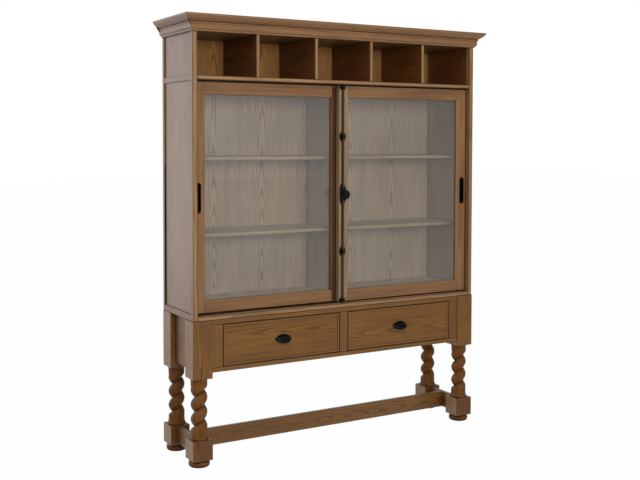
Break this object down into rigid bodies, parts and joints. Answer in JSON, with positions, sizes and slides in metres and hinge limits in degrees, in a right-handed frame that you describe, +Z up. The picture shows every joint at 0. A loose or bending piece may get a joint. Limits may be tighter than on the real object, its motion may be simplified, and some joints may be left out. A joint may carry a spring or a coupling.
{
  "type": "dresser with hutch",
  "caption": "Tall dresser: glazed hutch with sliding doors, open pigeon-holes and a cornice, on a stand with drawers, barley-twist legs, stretchers and bun feet.",
  "frame": {"origin": "on the floor under the middle of the overall width and depth", "axes": "+X to the viewer's right from the front, +Y to the back, +Z up; the front faces -Y"},
  "size_m": [1.748, 0.435, 2.135],
  "materials": {
    "oak": "brown oiled oak, satin",
    "bronze": "dark oil-rubbed bronze, satin",
    "glass": "clear float glass",
    "nylon": "moulded nylon, dark brown",
    "brass": "turned brass, satin"
  },
  "bodies": {
    "case": {"front_left_leg": "oak", "front_right_leg": "oak", "rear_left_leg": "oak", "rear_right_leg": "oak", "side_stretchers": "oak", "long_stretcher": "oak", "apron_top_rail": "oak", "apron_bottom_rail": "oak", "apron_stiles": "oak", "side_and_back_aprons": "oak", "drawer_runners": "oak", "bottom_board": "oak", "cubby_shelf": "oak", "top_board": "oak", "cubby_dividers": "oak", "cornice_rails": "oak", "raised_floor": "oak", "floor_bearers": "oak", "back_panels": "oak", "centre_partition": "oak", "adjustable_shelves": "oak", "shelf_pins": "brass", "left_side_frame": "oak", "left_side_panels": "oak", "right_side_frame": "oak", "right_side_panels": "oak", "front_cornice": "oak", "side_cornices": "oak", "door_tracks": "bronze"},
    "left_drawer": {"left_drawer_front": "oak", "left_drawer_sides": "oak", "left_drawer_back": "oak", "left_drawer_bottom": "oak", "left_cup_pull": "bronze", "left_pull_screws": "bronze"},
    "right_drawer": {"right_drawer_front": "oak", "right_drawer_sides": "oak", "right_drawer_back": "oak", "right_drawer_bottom": "oak", "right_cup_pull": "bronze", "right_pull_screws": "bronze"},
    "left_door": {"left_door_stiles": "oak", "left_door_rails": "oak", "left_door_glass": "glass", "left_door_beads": "oak", "left_flush_pull": "bronze", "left_door_glides": "nylon"},
    "right_door": {"right_door_stiles": "oak", "right_door_rails": "oak", "right_door_glass": "glass", "right_door_beads": "oak", "right_flush_pull": "bronze", "right_door_glides": "nylon", "cremone_case": "bronze", "cremone_guides": "bronze", "cremone_screws": "bronze"},
    "bolt_knob": {"cremone_knob": "bronze", "cremone_pinion": "bronze"},
    "upper_bolt": {"upper_bolt_rod": "bronze"},
    "lower_bolt": {"lower_bolt_rod": "bronze"}
  },
  "joints": [
    {"name": "left_door_slide", "type": "slide", "parent": "case", "child": "left_door", "axis": [1, 0, 0], "range_m": [0, 0.781]},
    {"name": "right_door_slide", "type": "slide", "parent": "case", "child": "right_door", "axis": [-1, 0, 0], "range_m": [0, 0.781]},
    {"name": "left_drawer_slide", "type": "slide", "parent": "case", "child": "left_drawer", "axis": [0, -1, 0], "range_m": [0, 0.26]},
    {"name": "right_drawer_slide", "type": "slide", "parent": "case", "child": "right_drawer", "axis": [0, -1, 0], "range_m": [0, 0.26]},
    {"name": "bolt_knob_turn", "type": "hinge", "parent": "right_door", "child": "bolt_knob", "pos_m": [0.006, -0.1405, 1.2767], "axis": [0, 1, 0], "range_deg": [0, 90]},
    {"name": "upper_bolt_slide", "type": "slide", "parent": "right_door", "child": "upper_bolt", "axis": [0, 0, 1], "range_m": [0, 0.00942]},
    {"name": "lower_bolt_slide", "type": "slide", "parent": "right_door", "child": "lower_bolt", "axis": [0, 0, -1], "range_m": [0, 0.0095]}
  ],
  "couplings": [
    {"joint": "bolt_knob_turn", "follows": "upper_bolt_slide", "rad_per_m": 166.67},
    {"joint": "lower_bolt_slide", "follows": "upper_bolt_slide", "ratio": 1}
  ]
}
